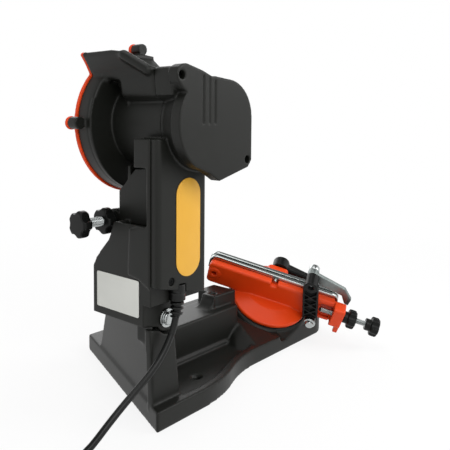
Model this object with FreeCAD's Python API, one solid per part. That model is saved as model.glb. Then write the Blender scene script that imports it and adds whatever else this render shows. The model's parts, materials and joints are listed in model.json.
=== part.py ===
import FreeCAD
import Part
import math
import os

V = FreeCAD.Vector

# Bench saw-chain sharpener. Millimetres, +Z up, operator at -Y, wheel guard at +X.
# The origin is midway between the two bench holes, on the bench surface.

# Base moulding
bench_hole_spacing = 108.0
bench_hole_d = 6.5
base_near_x = -84.0
base_far_x = 92.0
base_near_rear_y = 76.0
base_far_rear_y = 7.3
base_front_y = -214.0
base_waist_x = -62.0
waist_start_y = 23.0
waist_end_y = -79.0
front_near_radius = 25.0
front_far_radius = 60.0
rim_height = 16.0
rim_width = 8.0
floor_height = 11.0
skirt_wall = 3.5
floor_wall = 3.0

# Pedestal and hinge
pedestal_inset = 2.0
pedestal_near_x = -74.0
pedestal_far_x = 60.0
pedestal_near_depth = 30.0
pedestal_far_depth = 8.0
pedestal_low_z = 69.5
pedestal_front_draft = 7.0
pedestal_far_draft = 23.0
pedestal_block_z = 72.0
pedestal_block_front_y = 43.0
pedestal_block_far_x = -46.0
hinge_y = 53.5
hinge_z = 82.0
hinge_bolt_d = 8.0
hinge_fit = 0.06
tongue_r = 12.0
tongue_side_gap = 1.0

# Spine, landing post and turret under the vise
spine_near_x = -24.0
spine_far_x = 16.0
spine_top_z = 47.0
spine_end_y = -96.0
post_x = -6.0
post_y = -77.0
post_width = 18.0
post_top_z = 60.0
web_end_y = -103.0
post_hole_d = 6.0
seat_x = -23.5
seat_y = -153.0
seat_z = 43.0
seat_lean_deg = 20.0
seat_roll_deg = 30.0
seat_rim_r = 45.0
turret_foot_r = 52.0
turret_foot_x = -8.0
turret_foot_y = -152.0
seat_plate = 6.0
arm_clear_w = 2.6
seat_step = 0.6
arm_sector_from = -36.0
arm_sector_to = 27.0
arm_sweep_r = 59.0
swivel_bolt_d = 8.0

# Head: neck, hood, motor barrel
seam_x = -79.0
neck_near_x = -87.0
neck_far_x = -39.0
neck_rear_y = 78.0
neck_front_y = 24.0
neck_bottom_rear_z = 113.0
neck_bottom_front_z = 100.0
neck_round = 4.0
hood_near_x = -71.0
hood_far_x = -9.5
hood_front_y = 50.0
hood_bottom_z = 80.0
hood_wall = 3.5
hood_roof_z = 97.5
hinge_boss_r = 11.0
axis_y = 31.5
axis_z = 236.5
barrel_r = 37.0
barrel_wall = 3.0
barrel_bore_r = barrel_r - barrel_wall
cap_rear_y = 38.0
cap_rear_r = 36.9
cap_face_x = -106.0
cap_thickness = 10.0
cap_wall = 6.0
groove_pitch = 6.6
groove_width = 1.8
groove_depth = 1.2
groove_height = 37.0

# Switch
switch_x = -60.0
switch_z = 164.7
switch_width = 13.0
switch_height = 19.4
switch_rock_deg = 9.0

# Wheel guard and grinding disc
guard_r = 58.5
guard_wall = 3.0
guard_back_x = -38.0
guard_drum_x = -18.0
collar_r = 46.0
guard_rim_x = -6.0
cover_thickness = 3.0
cover_overlap = 1.5
guard_open_top_deg = 80.0
guard_open_bottom_deg = -80.0
lug_radius = 63.5
lug_r = 5.0
lug_depth = 10.5
disc_x = -16.0
disc_d = 108.0
disc_t = 3.2
disc_bore_d = 23.0
flange_r = 16.0
shaft_d = 8.0
shaft_fit = 0.05

# Depth stop
stop_x = -21.0
stop_z = 157.0
stop_screw_d = 8.0
stop_tip_y = -23.4
stop_boss_r = 9.0
stop_boss_rear_y = 66.0
stop_boss_front_y = 52.0
knob_r = 11.0
knob_h = 13.0
knob_crown = 8.4
end_knob_h = 9.4

# Vise, in its own frame: u along the rail, v to the operator, w square to the seat
vise_swing_deg = 32.8
table_r = 43.0
table_t = 4.0
table_dome = 4.5
seat_gap = 0.3
wall_half = 12.5
foot_half = 33.5
wall_left_u = -73.0
wall_right_u = 66.0
wall_bottom_w = 6.0
wall_top_w = 34.0
wall_front_top_w = 24.0
ear_u = -66.0
ear_w = 21.0
ear_r = 7.0
ear_hole_d = 6.0
notch_width = 7.0
notch_depth = 5.0
jaw_left_u = -75.0
jaw_right_u = 70.0
jaw_t = 3.6
jaw_gap = 1.8
jaw_bottom_w = 20.0
jaw_top_w = 38.0
jaw_corner_r = 9.0
jaw_travel = 1.0
run_gap = 0.3
lever_u = 2.0
lever_w = 25.0
boss_top_w = 30.5
lever_hub_r = 9.2
lever_hub_h = 12.5
lever_arm_r = 6.0
lever_arm = 30.0
lever_dip_deg = 8.0
arm_u = 48.0
arm_w = 4.0
arm_top_u = 36.0
arm_top_w = 54.0
arm_thickness = 7.0
arm_eye_r = 5.8
arm_width = 16.0
arm_gap = 0.4
tube_end_v = -5.0
pin_d = 6.0
pawl_eye = 7.0
pawl_t = 4.0
adjuster_v = -15.0
adjuster_w = 23.0
adjuster_d = 6.0
bracket_left_u = 67.0
bracket_right_u = 79.0
adjuster_reach = 36.0
adjuster_tip_gap = 1.3
adjuster_point = 1.5

# Supply cord
cord_d = 5.4
relief_x = -81.5
relief_y = 52.0
relief_top_z = 112.0
relief_bend_z = 98.0
relief_bend_r = 55.0
relief_bend_deg = 28.0
relief_collar_r = 6.5
relief_end_r = 4.0
relief_ribs = 7
coil_turns = 4
coil_pitch = 6.0
coil_layer = 6.0
coil_tail = 50.0
coil_inner_r = 21.6
coil_start_deg = -10.0
coil_x = -100.0
coil_y = 210.0


def box(x0, x1, y0, y1, z0, z1):
    return Part.makeBox(x1 - x0, y1 - y0, z1 - z0, V(x0, y0, z0))


def rod(r, p, d, h):
    return Part.makeCylinder(r, h, p, d)


def along_x(r, x0, x1, y, z):
    return rod(r, V(x0, y, z), V(1, 0, 0), x1 - x0)


def along_y(r, y0, y1, x, z):
    return rod(r, V(x, y0, z), V(0, 1, 0), y1 - y0)


def face_of(points):
    return Part.Face(Part.makePolygon(points + points[:1]))


def prism_x(yz, x0, x1):
    return face_of([V(x0, y, z) for y, z in yz]).extrude(V(x1 - x0, 0, 0))


def prism_y(xz, y0, y1):
    return face_of([V(x, y0, z) for x, z in xz]).extrude(V(0, y1 - y0, 0))


def prism_z(xy, z0, z1):
    return face_of([V(x, y, z0) for x, y in xy]).extrude(V(0, 0, z1 - z0))


def join(shapes):
    out = shapes[0]
    if len(shapes) > 1:
        out = out.fuse(shapes[1:])
    return out.removeSplitter()


def less(shape, cutters):
    return shape.cut(cutters).removeSplitter()


def solids(shapes):
    return Part.makeCompound(shapes)


def runs_along(edge, d):
    if edge.Curve.TypeId != "Part::GeomLine":
        return False
    t = edge.tangentAt(edge.FirstParameter)
    return abs(t.dot(d)) > 0.999


def circles(shape):
    return [e for e in shape.Edges if e.Curve.TypeId == "Part::GeomCircle"]


def rounded(shape, r, d, where=None):
    picked = [e for e in shape.Edges if runs_along(e, d)]
    if where:
        picked = [e for e in picked if where(e.CenterOfMass)]
    return shape.makeFillet(r, picked)


def hexagon(p, d, flats, h):
    rot = FreeCAD.Rotation(V(0, 0, 1), d)
    r = flats / math.sqrt(3.0)
    pts = []
    for i in range(6):
        a = math.radians(60.0 * i)
        pts.append(p + rot.multVec(V(r * math.cos(a), r * math.sin(a), 0)))
    return face_of(pts).extrude(d * h)


def star_knob(p, d, r, h, bore_r):
    # A five-lobed knob on a plain collar; p is the collar end, d points outwards.
    rot = FreeCAD.Rotation(V(0, 0, 1), d)
    collar = rod(0.62 * r, p, d, h - knob_crown + 1)
    crown = rod(r, p + d * (h - knob_crown), d, knob_crown)
    crown = crown.makeFillet(0.25 * knob_crown, circles(crown))
    scoops = []
    for i in range(5):
        a = math.radians(72.0 * i)
        side = rot.multVec(V(1.28 * r * math.cos(a), 1.28 * r * math.sin(a), 0))
        scoops.append(rod(0.5 * r, p + side - d * h, d, 3 * h))
    knob = join([collar, crown.cut(scoops)])
    if bore_r:
        knob = less(knob, [rod(bore_r, p - d, d, h + 2)])
    return knob


def arc_to(p0, p1, centre, r):
    mid = (p0 + p1) * 0.5 - centre
    mid.normalize()
    return Part.Arc(p0, centre + mid * r, p1).toShape()


def base_outline(z):
    # Plan of the base: slanted rear edge, waisted near side, rounded front.
    half_x = 0.5 * (base_waist_x - base_near_x)
    half_y = 0.5 * (waist_start_y - waist_end_y)
    r = (half_x * half_x + half_y * half_y) / (2 * half_x)
    a = V(base_near_x, base_near_rear_y, z)
    b = V(base_near_x, waist_start_y, z)
    m = V(base_near_x + half_x, waist_start_y - half_y, z)
    c = V(base_waist_x, waist_end_y, z)
    d = V(base_waist_x, base_front_y + front_near_radius, z)
    e = V(base_waist_x + front_near_radius, base_front_y, z)
    f = V(base_far_x - front_far_radius, base_front_y, z)
    g = V(base_far_x, base_front_y + front_far_radius, z)
    h = V(base_far_x, base_far_rear_y, z)
    edges = [Part.makeLine(a, b)]
    edges.append(arc_to(b, m, V(base_near_x + r, waist_start_y, z), r))
    edges.append(arc_to(m, c, V(base_waist_x - r, waist_end_y, z), r))
    edges.append(Part.makeLine(c, d))
    edges.append(arc_to(d, e, V(e.x, d.y, z), front_near_radius))
    edges.append(Part.makeLine(e, f))
    edges.append(arc_to(f, g, V(f.x, g.y, z), front_far_radius))
    edges.append(Part.makeLine(g, h))
    edges.append(Part.makeLine(h, a))
    return Part.Wire(edges)


def rear_y(x):
    run = (x - base_near_x) / (base_far_x - base_near_x)
    return base_near_rear_y + run * (base_far_rear_y - base_near_rear_y)


def pedestal_front_y(x):
    run = (x - pedestal_near_x) / (pedestal_far_x - pedestal_near_x)
    depth = pedestal_near_depth + run * (pedestal_far_depth - pedestal_near_depth)
    return rear_y(x) - pedestal_inset - depth


def pedestal_plan(x0, x1):
    return [(x0, rear_y(x0) - pedestal_inset), (x1, rear_y(x1) - pedestal_inset),
            (x1, pedestal_front_y(x1)), (x0, pedestal_front_y(x0))]


def seat_frame(swing_deg):
    # Axes of the tilted seat: u along the rail, v to the operator, w square to the seat.
    w = V(-math.tan(math.radians(seat_roll_deg)), math.tan(math.radians(seat_lean_deg)), 1)
    w.normalize()
    front = V(0, -1, 0)
    front = front - w * front.dot(w)
    front.normalize()
    side = front.cross(w)
    a = math.radians(swing_deg)
    u = side * math.cos(a) + front * math.sin(a)
    v = w.cross(u)
    m = FreeCAD.Matrix(u.x, v.x, w.x, seat_x, u.y, v.y, w.y, seat_y,
                       u.z, v.z, w.z, seat_z, 0, 0, 0, 1)
    return FreeCAD.Placement(m)


def on_seat(shape, swing_deg):
    moved = shape.copy()
    moved.Placement = seat_frame(swing_deg).multiply(moved.Placement)
    return moved


def pedestal():
    # Tapered slab: the front leans back and the far end leans in towards the top.
    low = pedestal_plan(pedestal_near_x, pedestal_far_x)
    high = pedestal_plan(pedestal_near_x, pedestal_far_x - pedestal_far_draft)
    high[2] = (high[2][0], high[2][1] + 1.0)
    high[3] = (high[3][0], high[3][1] + pedestal_front_draft)
    rings = []
    for pts, z in ((low, floor_height), (high, pedestal_low_z)):
        ring = [V(x, y, z) for x, y in pts]
        rings.append(Part.makePolygon(ring + ring[:1]))
    return Part.makeLoft(rings, True, True)


def turret():
    # From the tilted seat circle down to a wider round foot on the floor.
    top = on_seat(Part.Wire(Part.makeCircle(seat_rim_r)), 0)
    foot = Part.Wire(Part.makeCircle(turret_foot_r, V(turret_foot_x, turret_foot_y, floor_height - 1)))
    return Part.makeLoft([foot, top], True, True)


def turret_hollow():
    # The same form a wall thickness inside, open below.
    top = Part.Wire(Part.makeCircle(seat_rim_r - skirt_wall, V(0, 0, -seat_plate), V(0, 0, 1)))
    low = V(turret_foot_x, turret_foot_y, floor_height - 1)
    foot = Part.Wire(Part.makeCircle(turret_foot_r - skirt_wall, low))
    flare = Part.makeLoft([foot, on_seat(top, 0)], True, True)
    return join([flare, rod(turret_foot_r - skirt_wall, low, V(0, 0, -1), floor_height)])


def arm_sector():
    # The part of the seat's edge that the stop arm's foot swings past.
    pts = [(0, 0)]
    for i in range(4):
        a = math.radians(arm_sector_from + i * (arm_sector_to - arm_sector_from) / 3.0)
        pts.append((120 * math.cos(a), 120 * math.sin(a)))
    return prism_z(pts, -100, 100)


def base_moulding():
    outline = Part.Face(base_outline(0))
    plate = outline.extrude(V(0, 0, rim_height))
    inner = Part.Face(base_outline(0).makeOffset2D(-rim_width)).extrude(V(0, 0, rim_height))
    recess = inner.common(box(-300, spine_near_x, post_y - 25, pedestal_front_y(pedestal_near_x),
                              floor_height, 40))
    under = Part.Face(base_outline(0).makeOffset2D(-skirt_wall))
    under = under.extrude(V(0, 0, floor_height - floor_wall))
    body = [plate.cut([recess, under])]
    for x in (-0.5 * bench_hole_spacing, 0.5 * bench_hole_spacing):
        body.append(rod(bench_hole_d, V(x, 0, 0), V(0, 0, 1), floor_height))
    low = pedestal()
    mid_x = hood_near_x + hood_wall + tongue_side_gap
    ledge = prism_x([(70.1, floor_height), (73.6, 77.5), (60.0, 73.5), (50.5, 69.0),
                     (pedestal_front_y(pedestal_near_x), floor_height)], pedestal_near_x, mid_x)
    ledge = ledge.cut(along_x(hinge_boss_r + 1.2, pedestal_near_x - 1, mid_x + 1, hinge_y, hinge_z))
    block = prism_z(pedestal_plan(mid_x, pedestal_block_far_x), floor_height, pedestal_block_z)
    block = block.common(box(-200, 200, pedestal_block_front_y, 200, 0, 200))
    tongue = along_x(tongue_r, mid_x, pedestal_block_far_x, hinge_y, hinge_z)
    root = box(mid_x, pedestal_block_far_x, hinge_y - tongue_r + 2, hinge_y + tongue_r - 2, 60, hinge_z)
    spine = prism_y([(spine_near_x, floor_height - 1), (spine_near_x, spine_top_z),
                     (spine_far_x, spine_top_z), (spine_far_x + 6, floor_height - 1)],
                    spine_end_y, pedestal_front_y(spine_far_x) + 4)
    half = 0.5 * post_width
    post = box(post_x - half, post_x + half, post_y - half, post_y + half, floor_height, post_top_z)
    post = rounded(post, 6.0, V(0, 0, 1))
    web = box(post_x - half, spine_far_x, web_end_y, post_y, floor_height, post_top_z)
    body += [low, ledge, block, tongue, root, spine, post, web, turret()]
    cutters = [turret_hollow()]
    cutters.append(along_x(0.5 * hinge_bolt_d + hinge_fit, mid_x - 20, 0, hinge_y, hinge_z))
    cutters.append(rod(0.5 * post_hole_d, V(post_x, post_y, post_top_z - 12), V(0, 0, 1), 20))
    for x in (-0.5 * bench_hole_spacing, 0.5 * bench_hole_spacing):
        cutters.append(rod(0.5 * bench_hole_d, V(x, 0, -1), V(0, 0, 1), 60))
    kept = rod(seat_rim_r - seat_step, V(0, 0, -30), V(0, 0, 1), 200)
    sweep = rod(arm_sweep_r, V(0, 0, -arm_clear_w), V(0, 0, 1), 80).cut(kept)
    sweep = on_seat(sweep.common(arm_sector()), 0)
    sweep = sweep.common(box(-300, post_x - 0.5 * post_width - 2, -400, 300, floor_height - 1, 300))
    cutters.append(sweep)
    bolt = on_seat(rod(0.5 * swivel_bolt_d + 0.05, V(0, 0, -60), V(0, 0, 1), 70), 0)
    cutters.append(bolt.common(box(-300, 300, -400, 300, floor_height, 300)))
    return less(join(body), cutters)


def head_axis(r, x0, x1):
    return along_x(r, x0, x1, axis_y, axis_z)


def ridge_points():
    return [(73.0, 258.0), (74.7, 277.0), (72.0, 279.0), (51.5, 277.0), (34.0, 271.0), (axis_y, axis_z)]


def ear_points():
    return [(64.0, 258.0), (70.5, 262.0), (76.0, 267.5), (77.8, 273.0), (75.6, 277.6), (70.6, 280.2),
            (67.2, 280.6), (50.0, 276.6), (35.3, 271.4), (axis_y, axis_z)]


def cap_face(x):
    # Outline of the end cap: round behind and in front, with a straight chin below.
    y, z, r = cap_rear_y, axis_z, cap_rear_r
    chin = [V(x, 57.1, 204.6), V(x, 42.3, 199.4), V(x, 30.0, 192.2), V(x, -5.6, 201.4), V(x, -9.9, 207.0),
            V(x, -9.9, 241.5)]
    top = V(x, 19.5, 271.7)
    start = V(x, 54.0, 269.8)
    edges = [Part.Arc(start, V(x, y + r, z), chin[0]).toShape()]
    edges += [Part.makeLine(a, b) for a, b in zip(chin, chin[1:])]
    edges.append(Part.Arc(chin[-1], V(x, -1.3, 262.9), top).toShape())
    edges.append(Part.makeLine(top, V(x, 36.0, 273.2)))
    edges.append(Part.makeLine(V(x, 36.0, 273.2), start))
    return Part.Wire(edges)


def handle_points():
    return [(73.0, 257.0), (74.0, 270.0), (76.5, 277.0), (81.0, 285.0), (85.5, 291.5), (83.5, 293.5),
            (79.0, 292.5), (72.0, 281.0), (62.0, 272.0), (58.0, 257.0)]


def guard_cone(r0, r1, x0, x1):
    return Part.makeCone(r0, r1, x1 - x0, V(x0, axis_y, axis_z), V(1, 0, 0))


def capsule(a, b, r):
    return join([rod(r, a, b - a, (b - a).Length), Part.makeSphere(r, a), Part.makeSphere(r, b)])


def open_wedge(inner_r):
    pts = [(axis_y, axis_z)]
    steps = 6
    for i in range(steps + 1):
        span = guard_open_top_deg - guard_open_bottom_deg
        a = math.radians(guard_open_bottom_deg + span * i / steps)
        pts.append((axis_y - 120 * math.cos(a), axis_z + 120 * math.sin(a)))
    wedge = prism_x(pts, guard_back_x - 2, guard_rim_x + cover_thickness + 2)
    return wedge.cut(head_axis(inner_r, guard_back_x - 3, guard_rim_x + 9))


def lug_spots():
    spots = []
    for deg in (180.0, guard_open_top_deg + 8, guard_open_bottom_deg - 8):
        a = math.radians(deg)
        spots.append((axis_y - lug_radius * math.cos(a), axis_z + lug_radius * math.sin(a)))
    return spots


def guard_side_shell():
    neck = prism_x([(neck_rear_y, hood_roof_z), (neck_rear_y, 212.0), (76.5, 221.0), (73.0, 229.0),
                    (69.0, axis_z), (neck_front_y, axis_z), (neck_front_y, hood_roof_z)],
                   seam_x, neck_far_x)
    neck = rounded(neck, neck_round, V(0, 0, 1), lambda c: c.x > neck_far_x - 1 and c.y < axis_y)
    hood = prism_y([(hood_near_x, hood_bottom_z), (hood_far_x, hood_bottom_z), (hood_far_x, 119.0),
                    (-14.0, 127.0), (-30.0, 144.0), (-36.0, 158.0), (neck_far_x, 176.0),
                    (neck_far_x - 8, 176.0), (hood_near_x, hood_roof_z)], hood_front_y, neck_rear_y)
    cheek = prism_x([(neck_rear_y, hood_bottom_z), (hinge_y, hinge_z - 7.5),
                     (hinge_y - hinge_boss_r, hinge_z), (hinge_y - hinge_boss_r, hood_roof_z + 1),
                     (neck_rear_y, hood_roof_z + 1)],
                    hood_near_x, hood_near_x + hood_wall)
    boss = along_x(hinge_boss_r, hood_near_x, hood_near_x + hood_wall, hinge_y, hinge_z)
    lug_x = pedestal_block_far_x + tongue_side_gap
    inner_lug = along_x(hinge_boss_r, lug_x, lug_x + 5, hinge_y, hinge_z)
    inner_web = box(lug_x, lug_x + 5, hinge_y - hinge_boss_r, hinge_y + hinge_boss_r, hinge_z,
                    hood_roof_z + 1)
    barrel = head_axis(barrel_r, seam_x, guard_back_x + 1)
    ring = join([head_axis(guard_r, guard_drum_x, guard_rim_x),
                 head_axis(collar_r, guard_back_x, guard_drum_x),
                 guard_cone(collar_r, guard_r, guard_back_x + 2, guard_drum_x)])
    ridge = prism_x(ridge_points(), seam_x, guard_back_x)
    side = prism_y([(guard_rim_x, 300.0), (guard_rim_x, 277.0), (-9.0, 273.3), (-32.0, 270.8),
                    (-46.5, 264.0), (-56.0, 259.7), (seam_x, 258.0), (seam_x, 279.0), (-66.0, 279.0),
                    (-53.5, 291.0)], -100, 200)
    handle = prism_x(handle_points(), seam_x, guard_rim_x).common(side)
    handle = join([handle, capsule(V(-53.0, 81.5, 288.6), V(-75.0, 77.0, 276.5), 4.3)])
    lugs = [along_x(lug_r, guard_rim_x - lug_depth, guard_rim_x, y, z) for y, z in lug_spots()]
    stop_boss = along_y(stop_boss_r, stop_boss_front_y, stop_boss_rear_y, stop_x, stop_z)
    stop_arm = box(neck_far_x - 4, stop_x, stop_boss_front_y + 2, stop_boss_rear_y - 2,
                   stop_z - 0.8 * stop_boss_r, stop_z + 0.8 * stop_boss_r)
    panel = prism_y([(seam_x, 225.0), (-58.0, 225.0), (-58.0, 202.0), (-72.0, 200.0), (-72.0, 159.0),
                     (-56.0, 155.0), (-54.0, 119.0), (-66.0, 117.0), (seam_x, 111.0)],
                    neck_rear_y - 1, neck_rear_y + 1.2)
    body = join([neck, hood, cheek, boss, inner_lug, inner_web, barrel, ring, ridge, handle,
                 stop_boss, stop_arm, panel] + lugs)
    cavity = head_axis(guard_r - guard_wall, guard_drum_x - 1, guard_rim_x + 1)
    dish = guard_cone(collar_r - guard_wall, guard_r - guard_wall, guard_back_x + 3.5, guard_drum_x - 1)
    cavity = join([cavity, dish])
    bore = head_axis(barrel_bore_r, seam_x - 1, guard_back_x - 4)
    sleeve = head_axis(14.0, guard_back_x - 11, guard_back_x)
    inside = box(seam_x - 1, neck_far_x - 3, neck_front_y + 3, neck_rear_y - 3, 
                 neck_bottom_rear_z + 3, axis_z - 30)
    hinge_bay = box(hood_near_x + hood_wall, lug_x, 0, neck_rear_y - hood_wall, 40, hood_roof_z)
    hood_bay = box(lug_x + 5, hood_far_x - hood_wall, 0, neck_rear_y - hood_wall, 40, hood_roof_z)
    body = body.cut([cavity, bore, open_wedge(collar_r), inside, hinge_bay, hood_bay])
    body = body.fuse(sleeve)
    hole_r = 0.5 * hinge_bolt_d + hinge_fit
    cutters = [along_x(hole_r, hood_near_x - 5, lug_x + 10, hinge_y, hinge_z)]
    cutters.append(head_axis(11.0, guard_back_x - 20, guard_back_x - 3))
    cutters.append(head_axis(0.5 * shaft_d + 1.0, guard_back_x - 5, guard_back_x + 9))
    cutters.append(along_y(0.5 * stop_screw_d + 0.05, 0, 120, stop_x, stop_z))
    cutters.append(switch_cutout())
    cutters.append(rod(relief_collar_r + 0.1, V(relief_x, relief_y, 60), V(0, 0, 1), relief_top_z - 60))
    for y, z in lug_spots():
        cutters.append(along_x(1.7, guard_rim_x - 10, guard_rim_x + 1, y, z))
    return less(body, cutters)


def motor_side_shell():
    neck = prism_x([(neck_rear_y, neck_bottom_rear_z), (neck_front_y, neck_bottom_front_z),
                    (neck_front_y, axis_z), (neck_rear_y, axis_z - 18)], neck_near_x, seam_x)
    neck = rounded(neck, neck_round, V(0, 0, 1), lambda c: c.x < neck_near_x + 1)
    barrel = head_axis(barrel_r, cap_face_x + 4, seam_x)
    cap_back_x = cap_face_x + cap_thickness
    ridge = prism_x(ridge_points(), cap_back_x - 1, seam_x)
    ear = prism_x(ear_points(), cap_face_x, cap_back_x)
    cap = Part.Face(cap_face(cap_face_x)).extrude(V(cap_thickness, 0, 0))
    wide = Part.Wire(Part.makeCircle(cap_rear_r - 0.6, V(cap_back_x - 1, cap_rear_y, axis_z), V(1, 0, 0)))
    slim = Part.Wire(Part.makeCircle(barrel_r - 0.3, V(seam_x - 2, axis_y, axis_z), V(1, 0, 0)))
    flare = Part.makeLoft([wide, slim], True, True)
    body = join([neck, barrel, ridge, ear, cap, flare])
    bore = head_axis(barrel_bore_r, cap_face_x + cap_wall, seam_x + 1)
    body = body.cut(bore)
    sleeve = head_axis(14.0, cap_face_x + cap_wall - 1, cap_face_x + cap_wall + 6)
    body = body.fuse(sleeve)
    cutters = [head_axis(11.0, cap_face_x + cap_wall, cap_face_x + cap_wall + 8)]
    for y, z in cap_screw_spots():
        cutters.append(along_x(3.2, cap_face_x - 1, cap_face_x + 7, y, z))
    y, z = neck_screw_spot()
    cutters.append(along_x(3.2, neck_near_x - 1, neck_near_x + 4, y, z))
    for i in range(3):
        y = axis_y + 17.5 - i * groove_pitch
        cutters.append(box(cap_face_x - 1, cap_face_x + groove_depth, y - 0.5 * groove_width,
                           y + 0.5 * groove_width, axis_z, axis_z + groove_height - 1.5 * i))
    cutters.append(rod(relief_collar_r + 0.1, V(relief_x, relief_y, 60), V(0, 0, 1), relief_top_z - 60))
    return less(body, cutters)


def cap_screw_spots():
    return [(72.0, 272.1), (-4.5, 207.7)]


def neck_screw_spot():
    return (63.3, 115.7)


def guard_cover():
    x0 = guard_rim_x
    x1 = guard_rim_x + cover_thickness
    plate = head_axis(guard_r + cover_overlap, x0, x1)
    tip = prism_x([(y, z) for y, z in handle_points()], x0, x1)
    tip = tip.common(box(x0, x1, -200, 200, 276, 320))
    lugs = [along_x(lug_r + 0.5, x0, x1, y, z) for y, z in lug_spots()]
    body = join([plate, tip] + lugs)
    holes = [along_x(2.1, x0 - 1, x1 + 1, y, z) for y, z in lug_spots()]
    return less(body, [open_wedge(26.0)] + holes)


def pan_screw(p, d, head_r, head_h, shank_r, length):
    # p is the underside of the head, d points from the head along the shank.
    head = rod(head_r, p - d * head_h, d, head_h)
    crown = [e for e in circles(head) if (e.CenterOfMass - p).dot(d) < -0.5 * head_h]
    head = head.makeFillet(0.45 * head_h, crown)
    return join([head, rod(shank_r, p, d, length)])


def guard_screws():
    x = guard_rim_x + cover_thickness
    return solids([pan_screw(V(x, y, z), V(-1, 0, 0), 3.6, 2.4, 1.65, cover_thickness + 8)
                   for y, z in lug_spots()])


def housing_screws():
    out = []
    for y, z in cap_screw_spots():
        out.append(rod(2.8, V(cap_face_x + 4, y, z), V(1, 0, 0), 3))
    y, z = neck_screw_spot()
    out.append(rod(2.8, V(neck_near_x + 1, y, z), V(1, 0, 0), 3))
    return solids(out)


def stadium_x(x0, x1, y, z, width, height):
    r = 0.5 * width
    bar = box(x0, x1, y - r, y + r, z - 0.5 * height + r, z + 0.5 * height - r)
    ends = [along_x(r, x0, x1, y, z + s * (0.5 * height - r)) for s in (-1, 1)]
    return join([bar] + ends)


def neck_label():
    return stadium_x(neck_near_x - 0.6, neck_near_x, 45.7, 156.0, 26.6, 77.5)


def rating_plate():
    plate = box(-66.0, -15.0, neck_rear_y, neck_rear_y + 0.6, 86.5, 115.5)
    return rounded(plate, 1.5, V(0, 1, 0))


def switch_box(width, height, y0, y1):
    return box(switch_x - 0.5 * width, switch_x + 0.5 * width, neck_front_y + y0, neck_front_y + y1,
               switch_z - 0.5 * height, switch_z + 0.5 * height)


def switch_cutout():
    return switch_box(switch_width, switch_height, -1, 4)


def switch_bezel():
    outer = rounded(switch_box(switch_width + 4, switch_height + 3, -2, 0), 2.0, V(0, 1, 0))
    sleeve = switch_box(switch_width - 0.4, switch_height - 0.4, 0, 16)
    well = switch_box(switch_width - 2.6, switch_height - 1.8, -3, 9)
    return less(join([outer, sleeve]), [well])


def switch_rocker():
    z = switch_z
    y = neck_front_y + 2.0
    half = 0.5 * switch_width - 1.6
    pts = [(y + 2.0, z - 7.6), (y - 5.5, z - 7.6), (y - 3.4, z), (y - 5.5, z + 7.6), (y + 2.0, z + 7.6)]
    rocker = prism_x(pts, switch_x - half, switch_x + half)
    rocker.rotate(V(switch_x, y, z), V(1, 0, 0), switch_rock_deg)
    return rocker


def stator():
    x0 = -88.0
    x1 = -58.0
    core = head_axis(barrel_bore_r - 0.1, x0, x1).cut(head_axis(21.0, x0 - 1, x1 + 1))
    return core


def rotor():
    core = head_axis(20.4, -86.0, -60.0)
    drum = head_axis(11.0, -95.0 + 2.0, -86.0)
    return less(join([core, drum]), [head_axis(0.5 * shaft_d, -120, 0)])


def fan():
    hub = head_axis(10.0, -57.0, -52.0)
    blades = []
    for i in range(8):
        blade = box(-57.0, -52.0, axis_y - 0.9, axis_y + 0.9, axis_z + 9,
                    axis_z + barrel_bore_r - 3)
        blade.rotate(V(0, axis_y, axis_z), V(1, 0, 0), 45.0 * i)
        blades.append(blade)
    back = head_axis(barrel_bore_r - 3, -52.0, -50.5)
    return less(join([hub, back] + blades), [head_axis(0.5 * shaft_d, -120, 0)])


def bearings():
    out = []
    inner_x = cap_face_x + cap_wall
    for x0, x1 in ((inner_x, inner_x + 6), (guard_back_x - 11, guard_back_x - 4)):
        ring = head_axis(10.95, x0, x1).cut(head_axis(0.5 * shaft_d + shaft_fit, x0 - 1, x1 + 1))
        out.append(ring)
    return solids(out)


def arbor_shaft():
    return head_axis(0.5 * shaft_d, cap_face_x + cap_wall + 0.5, disc_x + 0.5 * disc_t + 7.0)


def inner_flange():
    x1 = disc_x - 0.5 * disc_t
    plate = head_axis(flange_r, x1 - 3, x1)
    hub = head_axis(10.0, x1 - 6.5, x1 - 3)
    spigot = head_axis(0.5 * disc_bore_d - 0.05, x1, x1 + disc_t - 0.2)
    return less(join([plate, hub, spigot]), [head_axis(0.5 * shaft_d, -120, 50)])


def grinding_disc():
    x0 = disc_x - 0.5 * disc_t
    wheel = head_axis(0.5 * disc_d, x0, x0 + disc_t)
    wheel = wheel.makeFillet(0.45 * disc_t, circles(wheel))
    return wheel.cut(head_axis(0.5 * disc_bore_d, x0 - 1, x0 + disc_t + 1))


def outer_flange():
    x0 = disc_x + 0.5 * disc_t
    plate = head_axis(flange_r, x0, x0 + 2.5)
    return plate.cut(head_axis(0.5 * shaft_d, -120, 50))


def arbor_nut():
    x0 = disc_x + 0.5 * disc_t + 2.5
    nut = hexagon(V(x0, axis_y, axis_z), V(1, 0, 0), 13.0, 4.5)
    return nut.cut(head_axis(0.5 * shaft_d, -120, 50))


def depth_screw():
    y1 = stop_boss_rear_y + 35.0
    return along_y(0.5 * stop_screw_d, stop_tip_y, y1, stop_x, stop_z)


def depth_knob():
    y1 = stop_boss_rear_y + 35.0
    y0 = y1 + 2.0 - end_knob_h
    knob = star_knob(V(stop_x, y0, stop_z), V(0, 1, 0), knob_r, end_knob_h, 0)
    return knob.cut(along_y(0.5 * stop_screw_d + 0.05, y0 - 5, y1 + 0.05, stop_x, stop_z))


def depth_lock():
    y0 = stop_boss_rear_y + run_gap
    return star_knob(V(stop_x, y0, stop_z), V(0, 1, 0), knob_r, knob_h, 0.5 * stop_screw_d + 0.05)


def hinge_bolt():
    p = V(hood_near_x - 1.5, hinge_y, hinge_z)
    length = pedestal_block_far_x + tongue_side_gap + 5 - p.x + 8
    bolt = pan_screw(p, V(1, 0, 0), 5.2, 2.4, 0.5 * hinge_bolt_d, length)
    washer = along_x(7.6, p.x, p.x + 1.2, hinge_y, hinge_z)
    return join([bolt, washer])


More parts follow.
